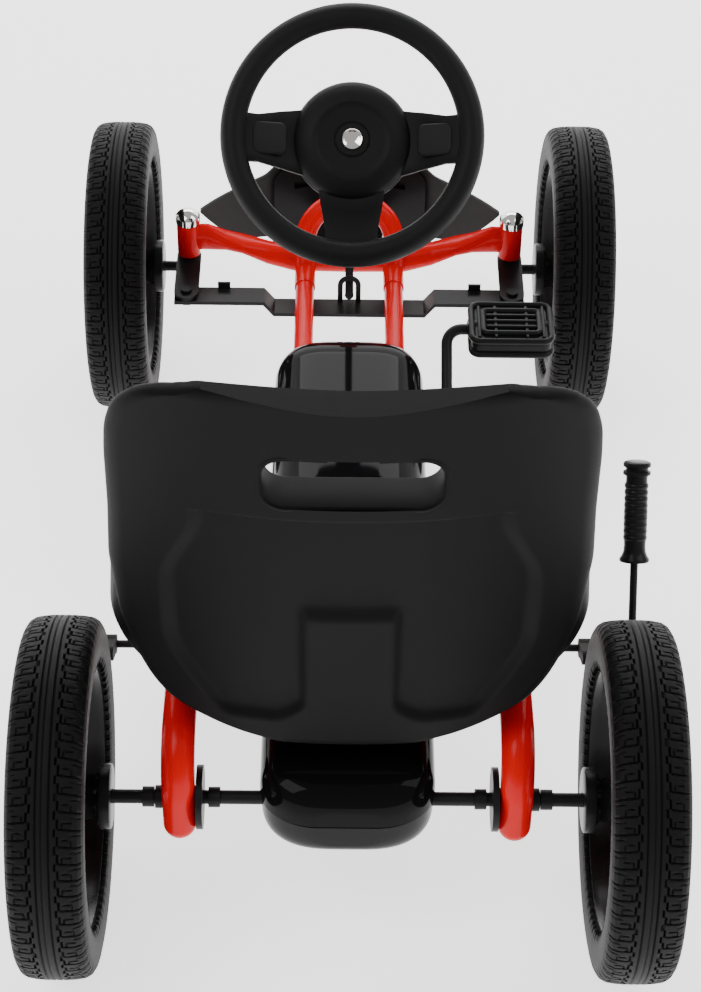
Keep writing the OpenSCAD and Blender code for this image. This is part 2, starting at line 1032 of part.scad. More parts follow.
// Ribbed block with a bore for the crank's end
module pedal(side) {
    color("#1a1a1b")
        translate([
            side * pedal_x,
            crank_y + side * crank_arm * cos(crank_rest_angle),
            crank_z + side * crank_arm * sin(crank_rest_angle)
        ])
            difference() {
                intersection() {
                    translate([0, 0, -pedal_t / 2])
                        linear_extrude(pedal_t)
                            round_rect(pedal_w, pedal_l, 9);
                    rotate([90, 0, 90])
                        translate([0, 0, -pedal_w / 2])
                            linear_extrude(pedal_w)
                                round_rect(pedal_l, pedal_t, 7);
                }
                across(0, 0, 0, crank_r + pin_play, 2 * pedal_w);
                for (sz = [-1, 1])
                    for (i = [-2 : 2])
                        block([0, i * 10, sz * pedal_t / 2], [pedal_w - 18, 4, 6]);
            }
}

// Steering

column_path = [
    [0, steering_y + 38 * column_dir.y, steering_z + 38 * column_dir.z],
    [0, steering_y + column_end * column_dir.y, steering_z + column_end * column_dir.z],
    side_point(knee, 0),
    side_point(crank_tip, 0)
];

// Rod from the steering wheel, bent back at its foot into the crank that moves the tie rod
module steering_column() {
    color("#1b1b1c")
        union() {
            for (i = [0 : 2])
                rod(column_path[i], column_path[i + 1], column_r);
            for (i = [1 : 3])
                translate(column_path[i])
                    sphere(r = column_r + 0.3);
        }
}

// Space on the driver's side of the spokes, which slope up from the hub to the rim
module dish(lift) {
    translate([0, 0, lift - dish_depth])
        cylinder(h = 46, r1 = 50, r2 = (steering_d - steering_rim_t) / 2 + 6);
}

// Rim of the wheel with its three spokes and the plate under the hub
module steering_wheel() {
    ring_r = (steering_d - steering_rim_t) / 2;
    color("#2d2d2f")
        on_column(0)
            difference() {
                union() {
                    rotate_extrude($fn = 128)
                        translate([ring_r, 0])
                            circle(steering_rim_t / 2);
                    intersection() {
                        union() {
                            translate([0, 0, -40])
                                linear_extrude(34)
                                    square([2 * ring_r, 46], center = true);
                            translate([0, 0, -40])
                                linear_extrude(34)
                                    polygon([[-27, 0], [27, 0], [19, -ring_r], [-19, -ring_r]]);
                        }
                        difference() {
                            translate([0, 0, -44])
                                cylinder(h = 46, r1 = 52, r2 = ring_r);
                            dish(0);
                        }
                    }
                    translate([0, 0, -46])
                        cylinder(h = 10, r = 52);
                    translate([0, 0, -70])
                        cylinder(h = 25, r = 15);
                }
                translate([0, 0, -80])
                    cylinder(h = 60, r = column_r);
            }
}

module steering_hub() {
    color("#2a2a2c")
        on_column(0)
            difference() {
                translate([0, 0, -36])
                    cylinder(h = 14, r1 = 48, r2 = 33);
                translate([0, 0, -37])
                    cylinder(h = 10, r = 22);
                translate([0, 0, -24])
                    cylinder(h = 10, r = 15);
            }
}

// Plain round emblem with a raised ring
module hub_emblem() {
    color("silver")
        on_column(0)
            union() {
                translate([0, 0, -24])
                    cylinder(h = 2, r = 15);
                translate([0, 0, -22])
                    difference() {
                        cylinder(h = 1.5, r = 14);
                        cylinder(h = 4, r = 10.5, center = true);
                    }
            }
}

// Rounded square pads that lie on the driver's side of the left and right spokes
module spoke_pads() {
    color("#1f1f21")
        on_column(0)
            intersection() {
                for (sx = [-1, 1])
                    translate([sx * pad_x, 0, -dish_depth])
                        linear_extrude(dish_depth)
                            round_rect(33, 28, 6);
                difference() {
                    dish(0);
                    dish(pad_t);
                }
            }
}

// Plate, kingpin and spindle in one welded piece
module knuckle(side) {
    color("#1b1b1c")
        difference() {
            translate([side * kingpin_x, front_y, 0])
                union() {
                    translate([0, 0, arm_top_z - arm_t])
                        cylinder(h = arm_t, r = arm_w / 2);
                    block([0, -knuckle_arm / 2, arm_top_z - arm_t / 2], [arm_w, knuckle_arm, arm_t]);
                    translate([0, -knuckle_arm, arm_top_z - arm_t])
                        cylinder(h = arm_t, r = arm_w / 2);
                    translate([0, 0, hub_z - 8])
                        cylinder(h = arm_top_z - hub_z + 8, r = 9);
                    translate([0, 0, hub_z])
                        cylinder(h = kingpin_top_z - hub_z + 3, r = kingpin_r);
                    across(side * spindle_l / 2, 0, hub_z, spindle_d / 2, spindle_l);
                }
            // hole for the tie rod bolt
            translate([side * kingpin_x, link_y, 0])
                cylinder(h = tyre_d, r = link_bolt_r);
        }
}

// Chrome dome cap on top of each kingpin
module kingpin_cap(side) {
    color("silver")
        translate([side * kingpin_x, front_y, kingpin_top_z + joint_gap])
            difference() {
                union() {
                    cylinder(h = 5, r = 11.75);
                    intersection() {
                        sphere(r = 13.6);
                        translate([0, 0, 5])
                            cylinder(h = 20, r = 11.75);
                    }
                }
                translate([0, 0, -1])
                    cylinder(h = 1 + 3 - joint_gap, r = kingpin_r);
            }
}

// Half of the flat bar, from the middle to the bolt, with its upward step
link_side = [
    [0, link_mid_top_z],
    [link_mid_x, link_mid_top_z],
    [link_mid_x + link_ramp, link_top_z],
    [kingpin_x + link_w / 2, link_top_z],
    [kingpin_x + link_w / 2, link_top_z - link_t],
    [link_mid_x + link_ramp + 1, link_top_z - link_t],
    [link_mid_x + 1, link_mid_top_z - link_t],
    [0, link_mid_top_z - link_t]
];

module half_link() {
    translate([0, link_y + link_w / 2, 0])
        rotate([90, 0, 0])
            linear_extrude(link_w)
                polygon(link_side);
    // upturned stop near the end
    block([kingpin_x - 36, link_y + link_w / 2 - 1, link_top_z + 3.5], [12, 2, 7]);
}

// Flat bar between the knuckle arms, with the wire staple that the crank end works in
module tie_rod() {
    staple_y = link_y + link_w / 2 - staple_r;
    staple_x = staple_w / 2 - staple_r;
    staple_path = [
        [staple_x, link_mid_top_z - 1],
        [staple_x, link_mid_top_z + staple_h - staple_r],
        [-staple_x, link_mid_top_z + staple_h - staple_r],
        [-staple_x, link_mid_top_z - 1]
    ];
    color("#1b1b1c")
        difference() {
            union() {
                both_sides()
                    half_link();
                cross_plane(staple_y)
                    bent_rod(staple_path, staple_x - 0.2, staple_r);
            }
            for (sx = [-1, 1])
                translate([sx * kingpin_x, link_y, 0])
                    cylinder(h = tyre_d, r = link_bolt_r + (sx > 0 ? 0.6 : pin_play));
        }
}

// Bolt that joins the tie rod to a knuckle arm
module link_bolt(side) {
    color("#55575a")
        translate([side * kingpin_x, link_y, 0])
            union() {
                translate([0, 0, link_top_z - link_t - 6])
                    cylinder(h = arm_top_z + 2 - link_top_z + link_t + 6, r = link_bolt_r);
                translate([0, 0, arm_top_z])
                    cylinder(h = 3, r = 5.5);
                translate([0, 0, link_top_z - link_t - 5])
                    cylinder(h = 4.5, r = 6.5, $fn = 6);
            }
}

// Brake

module brake_rod() {
    color("#1b1b1c")
        translate([0, brake_y, brake_z])
            rotate([90 - brake_lean, 0, 0])
                bent_rod([[-brake_x, 0], [brake_x, 0], [brake_x, brake_lever]], 14, brake_r);
}

// Moulded grip with a flange at each end, drawn along the lever
module brake_grip() {
    color("#161617")
        translate([brake_x, brake_y, brake_z])
            rotate([-brake_lean, 0, 0])
                difference() {
                    union() {
                        translate([0, 0, brake_lever - 82])
                            cylinder(h = 84, r = 9.6);
                        translate([0, 0, brake_lever - 82])
                            cylinder(h = 4, r = 12.5);
                        translate([0, 0, brake_lever - 2])
                            cylinder(h = 4, r = 11.5);
                        translate([0, 0, brake_lever - 9])
                            cylinder(h = 3, r = 11.5);
                    }
                    cylinder(h = brake_lever, r = brake_r);
                }
}

// Pad arm that swings against the tread of each rear tyre
module brake_pads() {
    color("#101011")
        for (sx = [-1, 1])
            translate([sx * brake_pad_x, brake_y, brake_z])
                rotate([brake_pad_turn, 0, 0])
                    difference() {
                        union() {
                            across(0, 0, 0, 8, 26);
                            block([0, 15, 0], [26, 30, 12]);
                            across(0, 30, 0, 6, 26);
                        }
                        across(0, 0, 0, brake_r, 60);
                    }
}

main_tube(-tube_x);  // main_tube_left
main_tube(tube_x);  // main_tube_right
steering_hoop();
front_beam();
kingpin_tube(-kingpin_x);  // kingpin_tube_left
kingpin_tube(kingpin_x);  // kingpin_tube_right
column_tube();
rear_leg(-leg_x);  // rear_leg_left
rear_leg(leg_x);  // rear_leg_right
rear_cross_tube();
seat_support();
seat_rails();
axle_bearing(-1);  // axle_bearing_left
axle_bearing(1);  // axle_bearing_right
crank_bracket(-tube_x);  // crank_bracket_left
crank_bracket(tube_x);  // crank_bracket_right
brake_brackets();
case_upper();
case_lower();
case_screws();
drive_chain();
front_fairing();
fairing_insert();
fairing_brackets();
seat_shell();
seat_slides();
seat_knobs();
rear_axle();
axle_sprocket();
axle_spacers();
rear_nuts();
wheel_rim(-1, rear_y, axle_r);  // rear_rim_left
wheel_rim(1, rear_y, axle_r);  // rear_rim_right
wheel_tyre(-1, rear_y);  // rear_tyre_left
wheel_tyre(1, rear_y);  // rear_tyre_right
crank_shaft();
crank_sprocket();
pedal(-1);  // pedal_left
pedal(1);  // pedal_right
steering_column();
steering_wheel();
steering_hub();
hub_emblem();
spoke_pads();
knuckle(-1);  // knuckle_left
knuckle(1);  // knuckle_right
kingpin_cap(-1);  // kingpin_cap_left
kingpin_cap(1);  // kingpin_cap_right
tie_rod();
link_bolt(-1);  // link_bolt_left
link_bolt(1);  // link_bolt_right
wheel_rim(-1, front_y, spindle_d / 2 + pin_play);  // front_rim_left
wheel_rim(1, front_y, spindle_d / 2 + pin_play);  // front_rim_right
wheel_tyre(-1, front_y);  // front_tyre_left
wheel_tyre(1, front_y);  // front_tyre_right
wheel_nut(-1, front_y, spindle_d / 2);  // front_nut_left
wheel_nut(1, front_y, spindle_d / 2);  // front_nut_right
brake_rod();
brake_grip();
brake_pads();
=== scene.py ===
import json
import math

import bmesh
import bpy
import numpy as np
from mathutils import Matrix, Vector


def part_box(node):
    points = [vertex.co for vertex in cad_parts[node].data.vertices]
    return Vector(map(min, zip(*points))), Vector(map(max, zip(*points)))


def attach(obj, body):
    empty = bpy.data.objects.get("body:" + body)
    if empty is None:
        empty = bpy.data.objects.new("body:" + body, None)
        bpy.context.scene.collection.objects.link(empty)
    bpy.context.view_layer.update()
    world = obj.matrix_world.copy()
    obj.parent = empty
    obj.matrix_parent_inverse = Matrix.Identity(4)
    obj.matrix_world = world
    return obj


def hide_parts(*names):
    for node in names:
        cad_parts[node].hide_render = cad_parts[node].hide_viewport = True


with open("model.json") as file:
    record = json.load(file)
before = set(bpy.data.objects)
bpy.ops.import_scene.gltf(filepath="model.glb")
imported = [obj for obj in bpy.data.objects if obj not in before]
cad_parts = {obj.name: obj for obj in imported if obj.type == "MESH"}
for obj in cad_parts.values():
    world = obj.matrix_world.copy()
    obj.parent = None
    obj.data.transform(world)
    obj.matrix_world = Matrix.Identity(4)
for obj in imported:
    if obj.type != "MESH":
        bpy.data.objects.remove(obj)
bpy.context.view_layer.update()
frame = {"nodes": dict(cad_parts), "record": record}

MM = 0.001

# Main dimensions of the kart in millimetres, in the frame of the CAD model
REAR_Y = -342.0
FRONT_Y = 342.0
HUB_Z = 140.0
HALF_TRACK = 220.0
TYRE_R = 140.0
STEERING = Vector((0.0, 145.0, 426.0))
COLUMN_ANGLE = math.radians(42.5)
PEDAL_SIZE = (78.0, 60.0, 24.0)
BRAKE_PIVOT = Vector((236.0, -167.0, 129.0))
BRAKE_LEAN = math.radians(32)

# Seat: foot of the backrest, middle of the hand slot above it, underside and wall of the pan
BACK_FOOT_Z = 209.0
SLOT_H = 296.0
PAN_UNDER_Z = 214.5
PAN_WALL = 13.0
PAN_REAR_Y = -326.0

# Chain case: its two ends and the seam between its halves
CASE_REAR_Y = -372.0
CASE_NOSE_Y = 169.0
CASE_SEAM_Z = 140.0

# Vertices nearer than this are joined, in metres
WELD = 0.00001
# Edges sharper than this stay sharp
SHARP = math.radians(38)
# Corners of a rectangle in turn order, as signs of x and y
CORNERS = ((1, 1), (-1, 1), (-1, -1), (1, -1))


# ---------------------------------------------------------------- materials


def new_material(name, color, rough, metallic=0.0, coat=0.0, specular=0.5):
    material = bpy.data.materials.new(name)
    material.use_nodes = True
    nodes, links = material.node_tree.nodes, material.node_tree.links
    shader = nodes["Principled BSDF"]
    shader.inputs["Base Color"].default_value = (*color, 1.0)
    shader.inputs["Roughness"].default_value = rough
    shader.inputs["Metallic"].default_value = metallic
    shader.inputs["Coat Weight"].default_value = coat
    shader.inputs["Coat Roughness"].default_value = 0.05
    shader.inputs["Specular IOR Level"].default_value = specular
    return material, nodes, links, shader


def grained(name, color, rough, grain, bump, spread=0.08, tint=0.12, specular=0.1, **extra):
    """Plastic, rubber or paint: fine grain in the surface and slow changes of gloss and tone."""
    material, nodes, links, shader = new_material(name, color, rough, specular=specular, **extra)
    where = nodes.new("ShaderNodeTexCoord")
    fine = nodes.new("ShaderNodeTexNoise")
    fine.inputs["Scale"].default_value = grain
    fine.inputs["Detail"].default_value = 3.0
    slow = nodes.new("ShaderNodeTexNoise")
    slow.inputs["Scale"].default_value = 9.0
    slow.inputs["Detail"].default_value = 4.0
    links.new(where.outputs["Object"], fine.inputs["Vector"])
    links.new(where.outputs["Object"], slow.inputs["Vector"])
    gloss = nodes.new("ShaderNodeMapRange")
    gloss.inputs["To Min"].default_value = max(0.02, rough - spread)
    gloss.inputs["To Max"].default_value = min(1.0, rough + spread)
    links.new(slow.outputs["Fac"], gloss.inputs["Value"])
    links.new(gloss.outputs["Result"], shader.inputs["Roughness"])
    tone = nodes.new("ShaderNodeMix")
    tone.data_type = "RGBA"
    tone.inputs["A"].default_value = (*[c * (1.0 - tint) for c in color], 1.0)
    tone.inputs["B"].default_value = (*[c * (1.0 + tint) for c in color], 1.0)
    links.new(slow.outputs["Fac"], tone.inputs["Factor"])
    links.new(tone.outputs["Result"], shader.inputs["Base Color"])
    raised = nodes.new("ShaderNodeBump")
    raised.inputs["Strength"].default_value = bump
    raised.inputs["Distance"].default_value = 0.0004
    links.new(fine.outputs["Fac"], raised.inputs["Height"])
    links.new(raised.outputs["Normal"], shader.inputs["Normal"])
    return material


MATERIALS = {
    "frame_red": grained("frame_red", (0.66, 0.0005, 0.003), 0.24, 900, 0.03, 0.04, 0.05, coat=0.03),
    "black_steel": grained("black_steel", (0.012, 0.012, 0.013), 0.36, 1400, 0.12),
    "case_gloss": grained("case_gloss", (0.004, 0.004, 0.0045), 0.06, 300, 0.01, 0.02, specular=0.05),
    "case_satin": grained("case_satin", (0.007, 0.007, 0.0075), 0.2, 900, 0.05, 0.04),
    "plain_steel": grained("plain_steel", (0.5, 0.5, 0.51), 0.34, 1600, 0.08, metallic=1.0),
    "bright_chrome": grained("bright_chrome", (0.8, 0.78, 0.76), 0.06, 400, 0.01, 0.03, metallic=1.0),
    "fairing_grey": grained("fairing_grey", (0.02, 0.02, 0.0205), 0.5, 1800, 0.25),
    "fairing_dark": grained("fairing_dark", (0.006, 0.006, 0.0065), 0.3, 900, 0.06),
    "seat_plastic": grained("seat_plastic", (0.004, 0.004, 0.0041), 0.5, 2600, 0.45, 0.05, specular=0.05),
    "moulded_black": grained("moulded_black", (0.012, 0.012, 0.0125), 0.46, 1900, 0.25),
    "rim_plastic": grained("rim_plastic", (0.008, 0.008, 0.0085), 0.28, 1200, 0.1),
    "tyre_foam": grained("tyre_foam", (0.005, 0.005, 0.0052), 0.55, 2200, 0.4),
    "pedal_plastic": grained("pedal_plastic", (0.01, 0.01, 0.0105), 0.34, 1400, 0.16),
    "steering_plastic": grained("steering_plastic", (0.008, 0.008, 0.0083), 0.48, 2600, 0.3, 0.05),
    "grip_rubber": grained("grip_rubber", (0.01, 0.01, 0.0104), 0.3, 1500, 0.12),
    "pad_rubber": grained("pad_rubber", (0.02, 0.02, 0.02), 0.7, 900, 0.3),
}


# ---------------------------------------------------------------- mesh tools


class Shape:
    """Collects vertices in millimetres and faces, then becomes one mesh object."""

    def __init__(self):
        self.points = []
        self.faces = []

    def grid(self, rows, close_u=False, close_v=False, cap=False):
        """rows is an array (m, n, 3); u runs along m and v along n."""
        rows = np.asarray(rows, float)
        m, n = rows.shape[:2]
        base = len(self.points)
        self.points.extend(rows.reshape(-1, 3).tolist())
        for i in range(m if close_u else m - 1):
            for j in range(n if close_v else n - 1):
                a, b = base + i * n + j, base + i * n + (j + 1) % n
                c, d = base + ((i + 1) % m) * n + (j + 1) % n, base + ((i + 1) % m) * n + j
                self.faces.append((a, b, c, d))
        if cap:
            self.faces.append(tuple(base + j for j in reversed(range(n))))
            self.faces.append(tuple(base + (m - 1) * n + j for j in range(n)))
        return self

    def lathe(self, profile, steps=96):
        """profile is a list of (radius, height) round the Z axis."""
        turn = np.linspace(0, 2 * math.pi, steps, endpoint=False)
        rows = [[(r * math.cos(t), r * math.sin(t), z) for r, z in profile] for t in turn]
        return self.grid(rows, close_u=True)

    def join_edges(self, m, n):
        """Closes a sheet whose two faces are the shape's first two grids of m by n points."""
        rim = (
            [(0, j) for j in range(n)] + [(i, n - 1) for i in range(1, m)]
            + [(m - 1, j) for j in range(n - 2, -1, -1)] + [(i, 0) for i in range(m - 2, 0, -1)]
        )
        for k, (i0, j0) in enumerate(rim):
            i1, j1 = rim[(k + 1) % len(rim)]
            a, b = i0 * n + j0, i1 * n + j1
            self.faces.append((a, b, b + m * n, a + m * n))

    def place(self, matrix, start=0):
        """Moves the points from number start on."""
        for i in range(start, len(self.points)):
            self.points[i] = list(matrix @ Vector(self.points[i]))
        return self

    def make(self, name, slot, body, replaces=()):
        """Turns the shape into an object that rides on body and stands for the CAD nodes it replaces."""
        mesh = bpy.data.meshes.new(name)
        mesh.from_pydata([[c * MM for c in p] for p in self.points], [], self.faces)
        work = bmesh.new()
        work.from_mesh(mesh)
        bmesh.ops.remove_doubles(work, verts=work.verts, dist=WELD)
        bmesh.ops.dissolve_degenerate(work, edges=work.edges, dist=WELD)
        bmesh.ops.recalc_face_normals(work, faces=work.faces)
        for face in work.faces:
            face.smooth = True
        for edge in work.edges:
            if len(edge.link_faces) == 2 and edge.calc_face_angle() > SHARP:
                edge.smooth = False
        work.to_mesh(mesh)
        work.free()
        mesh.materials.append(MATERIALS[slot])
        obj = bpy.data.objects.new(name, mesh)
        bpy.context.scene.collection.objects.link(obj)
        if replaces:
            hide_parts(*replaces)
        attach(obj, body)
        return obj


def smooth_step(x):
    """0 below 0, 1 above 1 and a smooth rise between."""
    x = np.clip(x, 0.0, 1.0)
    return x * x * (3.0 - 2.0 * x)


def lerp_table(x, table):
    """Straight lines through (x, value) pairs."""
    xs, vs = zip(*table)
    return np.interp(x, xs, vs)


def eased(x, table, blur):
    """The table's curve with its corners rounded over blur."""
    return sum(lerp_table(x + d * blur, table) for d in (-1.0, -0.5, 0.0, 0.5, 1.0)) / 5.0


def rounded_box(shape, centre, size, radius, rings=4):
    """Box with rounded upright edges and rounded top and bottom rims."""
    cx, cy, cz = centre
    w, l, h = (side / 2 for side in size)
    loops = []
    arc = [math.pi / 2 * k / rings for k in range(rings + 1)]
    rim = min(radius, h) * 0.7
    levels = [(-h, rim)]
    levels += [(-h + rim * (1 - math.cos(a)), rim * (1 - math.sin(a))) for a in arc]
    levels += [(h - rim * (1 - math.cos(a)), rim * (1 - math.sin(a))) for a in reversed(arc)]
    levels += [(h, rim)]
    for z, inset in levels:
        loop = []
        r = max(radius - inset, 0.2)
        for q in range(4):
            sx, sy = CORNERS[q]
            for a in arc:
                t = q * math.pi / 2 + a
                loop.append(
                    (
                        cx + sx * (w - radius) + r * math.cos(t),
                        cy + sy * (l - radius) + r * math.sin(t),
                        cz + z,
                    )
                )
        loops.append(loop)
    shape.grid(loops, close_v=True, cap=True)
    return shape


# ---------------------------------------------------------------- CAD pieces shown as they are

SLOT_OF = {p["node"]: p["material_slot"] for p in frame["record"]["subparts"]}


def paint_cad_nodes():
    """Every CAD node gets its slot's material; the bolts of the links are black, as in the photo."""
    for name, node in frame["nodes"].items():
        node.data.materials.clear()
        slot = "black_steel" if name.startswith("link_bolt") else SLOT_OF[name]
        node.data.materials.append(MATERIALS[slot])


# ---------------------------------------------------------------- wheels


def tread_depth(arc, side):
    """Depth of the tread's grooves, in mm, at arc length arc round the tyre and side across it."""
    away = np.abs(side)
    hand = np.sign(side)

    def groove(distance, half_width, depth):
        return depth * smooth_step((half_width - np.abs(distance)) / 0.9 + 0.5)

    depth = np.zeros_like(arc)
    for at in (-4.6, 0.2, 5.0):
        depth = np.maximum(depth, groove(side - at, 0.45, 1.3))
    lug = 880.0 / 68.0
    phase = (arc / lug + 0.37 * (hand > 0)) % 1.0
    number = np.floor(arc / lug + 0.37 * (hand > 0))
    jog = np.where(phase < 0.55, 0.9, -0.9) * (1.0 + 0.25 * np.sin(number * 2.3))
    depth = np.maximum(depth, groove(away - 10.2 - jog, 0.6, 2.1))
    slanted = (phase - 0.03 * (away - 11.0) / 4.0) % 1.0
    shoulder = smooth_step((away - 11.2) / 0.8) * smooth_step((28.6 - away) / 0.8)
    depth = np.maximum(depth, groove((slanted - 0.55) * lug, 0.55, 1.8) * shoulder)
    inner_part = smooth_step((away - 14.0) / 0.7) * smooth_step((21.6 - away) / 0.7)
    depth = np.maximum(depth, groove((slanted - 0.15) * lug, 0.45, 1.4) * inner_part)
    outer_part = smooth_step((away - 19.5) / 0.7) * smooth_step((28.6 - away) / 0.7)
    depth = np.maximum(depth, groove((slanted - 0.85) * lug, 0.4, 1.2) * outer_part)
    joined = (slanted > 0.15) & (slanted < 0.55)
    even = np.mod(number, 2) == 0
    depth = np.maximum(depth, np.where(joined & even, groove(away - 14.6, 0.45, 1.4), 0.0))
    depth = np.maximum(depth, np.where(joined & ~even, groove(away - 21.0, 0.45, 1.4), 0.0))
    return depth


def make_tyre(name, side, y, body):
    outer = [
        (-24.0, 102.2), (-26.6, 103.6), (-27.6, 107.0), (-28.5, 113.0), (-28.9, 120.0), (-28.7, 127.0),
        (-27.6, 132.5), (-25.2, 136.2), (-21.5, 138.3), (-15.0, 139.4), (-8.0, 139.9), (0.0, 140.0),
    ]
    half = np.array(outer)
    whole = np.vstack([half, half[-2::-1] * [-1, 1]])
    length = np.concatenate([[0], np.cumsum(np.hypot(*np.diff(whole, axis=0).T))])
    along = np.linspace(0, length[-1], 118)
    s = np.interp(along, length, whole[:, 0])
    r = np.interp(along, length, whole[:, 1])
    steps = 1120
    turn = np.arange(steps) * 2 * math.pi / steps
    arc = (turn * TYRE_R)[:, None] + np.zeros_like(s)[None, :]
    across = s[None, :] + np.zeros_like(arc)
    radius = r[None, :] - tread_depth(arc, across)
    # two fine ribs on each sidewall
    for at in (108.5, 126.0):
        across = across + np.sign(across) * 0.08 * smooth_step((1.3 - np.abs(r[None, :] - at)) / 0.8)
    rows = np.stack(
        [across, radius * np.cos(turn)[:, None], radius * np.sin(turn)[:, None]], axis=-1
    )
    shape = Shape()
    shape.grid(rows, close_u=True)
    inner = [
        [(x, 102.0 * math.cos(t), 102.0 * math.sin(t)) for x in (-24.0, 24.0)]
        for t in turn[::10]
    ]
    shape.grid(inner, close_u=True)
    shape.place(Matrix.Translation((side * HALF_TRACK, y, HUB_Z)) @ Matrix.Scale(side, 4, (1, 0, 0)))
    return shape.make(name, "tyre_foam", body, [name.replace("skin_", "")])


def spoke(shape, p0, p1, w0, w1, z0, z1, t0, t1):
    """Bar in the wheel's plane from p0 to p1 with a rounded outer face."""
    p0, p1 = Vector(p0), Vector(p1)
    d = (p1 - p0).normalized()
    n = Vector((-d.y, d.x))
    section = [(-1, -1), (-1, 0.45), (-0.72, 0.86), (0, 1), (0.72, 0.86), (1, 0.45), (1, -1)]
    rows = []
    for k in range(13):
        f = k / 12
        flare = 1.0 + 0.55 * (abs(2 * f - 1)) ** 5
        p, w = p0.lerp(p1, f), (w0 + (w1 - w0) * f) / 2 * flare
        z, t = z0 + (z1 - z0) * f, (t0 + (t1 - t0) * f) / 2
        rows.append([(p.x + n.x * w * a, p.y + n.y * w * a, z + t * b) for a, b in section])
    shape.grid(rows, close_v=True, cap=True)


def make_rim(name, side, y, body):
    shape = Shape()
    # barrel with a flange at each edge; +Z is outboard
    shape.lathe(
        [
            (101.8, -22.6), (100.0, -23.0), (97.6, -22.6), (96.4, -20.5), (95.4, -17.0), (94.2, -9.0),
            (92.0, -5.0), (92.0, 5.0), (94.2, 9.0), (95.4, 17.0), (96.4, 20.5), (97.6, 22.6),
            (100.0, 23.0), (101.8, 22.6), (101.9, 0.0), (101.8, -22.6),
        ],
        128,
    )
    pairs = 8
    for i in range(pairs):
        mid = 2 * math.pi * i / pairs
        for hand in (-1, 1):
            a0 = mid + hand * math.radians(5.0)
            a1 = mid + hand * math.radians(16.5)
            spoke(
                shape,
                (24.0 * math.cos(a0), 24.0 * math.sin(a0)),
                (93.5 * math.cos(a1), 93.5 * math.sin(a1)),
                9.5, 8.0, -3.0, -1.0, 15.0, 11.0,
            )
        # web between the two bars near the rim
        rows = []
        for k in range(9):
            a = mid + math.radians(-17 + 34 * k / 8)
            rows.append(
                [
                    (r * math.cos(a), r * math.sin(a), z)
                    for r, z in ((86.0, -3.0), (86.0, 2.5), (94.0, 3.5), (94.0, -4.0))
                ]
            )
        shape.grid(rows, close_v=True, cap=True)
    # hub: a wide collar inboard, a boss and a dished cap outboard
    shape.lathe(
        [
            (6.2, -38.0), (23.6, -38.0), (25.2, -37.2), (25.5, -35.6), (25.5, -29.6), (24.4, -28.2),
            (18.5, -27.5), (17.0, -24.0), (19.0, -14.0), (27.0, -9.5), (29.5, -5.0), (29.5, 4.0),
            (26.5, 8.0), (18.0, 9.5), (16.0, 12.0), (15.2, 18.5), (13.8, 19.8), (6.2, 20.0), (6.2, -38.0),
        ],
        72,
    )
    shape.place(
        Matrix.Translation((side * HALF_TRACK, y, HUB_Z)) @ Matrix.Rotation(side * math.pi / 2, 4, "Y")
    )
    return shape.make(name, "rim_plastic", body, [name.replace("skin_", "")])


def make_wheels():
    for end, y in (("rear", REAR_Y), ("front", FRONT_Y)):
        for hand, side in (("left", -1), ("right", 1)):
            body = "rear_axle" if end == "rear" else f"front_wheel_{hand}"
            make_tyre(f"skin_{end}_tyre_{hand}", side, y, body)
            make_rim(f"skin_{end}_rim_{hand}", side, y, body)


# ---------------------------------------------------------------- seat

# half width of the backrest at each height above its foot
BACK_WIDTH = [
    (0, 40), (4, 64), (10, 86), (19, 107), (33, 134), (52, 147), (74, 156), (116, 167),
    (181, 172), (236, 169), (291, 168), (318, 166), (340, 160), (354, 150), (364, 138), (370, 124),
    (374, 107), (376, 88),
]


def back_surface(x, h):
    """Row position of the rear face at x and at height h up the backrest, in mm."""
    lean = 0.125
    forward = 36.0 * (np.abs(x) / 170.0) ** 2.2
    y = -351.5 - lean * h + forward
    # panel pressed into the rear face: two lobes either side of a raised spine
    low = 34.0 + 46.0 * smooth_step((np.abs(np.abs(x) - 72.0) - 14.0) / 60.0)
    edge = 130.0 - 40.0 * smooth_step((120.0 - h) / 110.0) - 24.0 * smooth_step((h - 175.0) / 80.0)
    inside = smooth_step((edge - np.abs(x)) / 14.0 + 0.5)
    inside = inside * smooth_step((258.0 - h) / 5.0 + 0.5) * smooth_step((h - low) / 12.0 + 0.5)
    spine = smooth_step((34.0 - np.abs(x)) / 9.0 + 0.5) * smooth_step((158.0 - h) / 16.0 + 0.5)
    y = y + 5.5 * inside * (1.0 - spine)
    return y


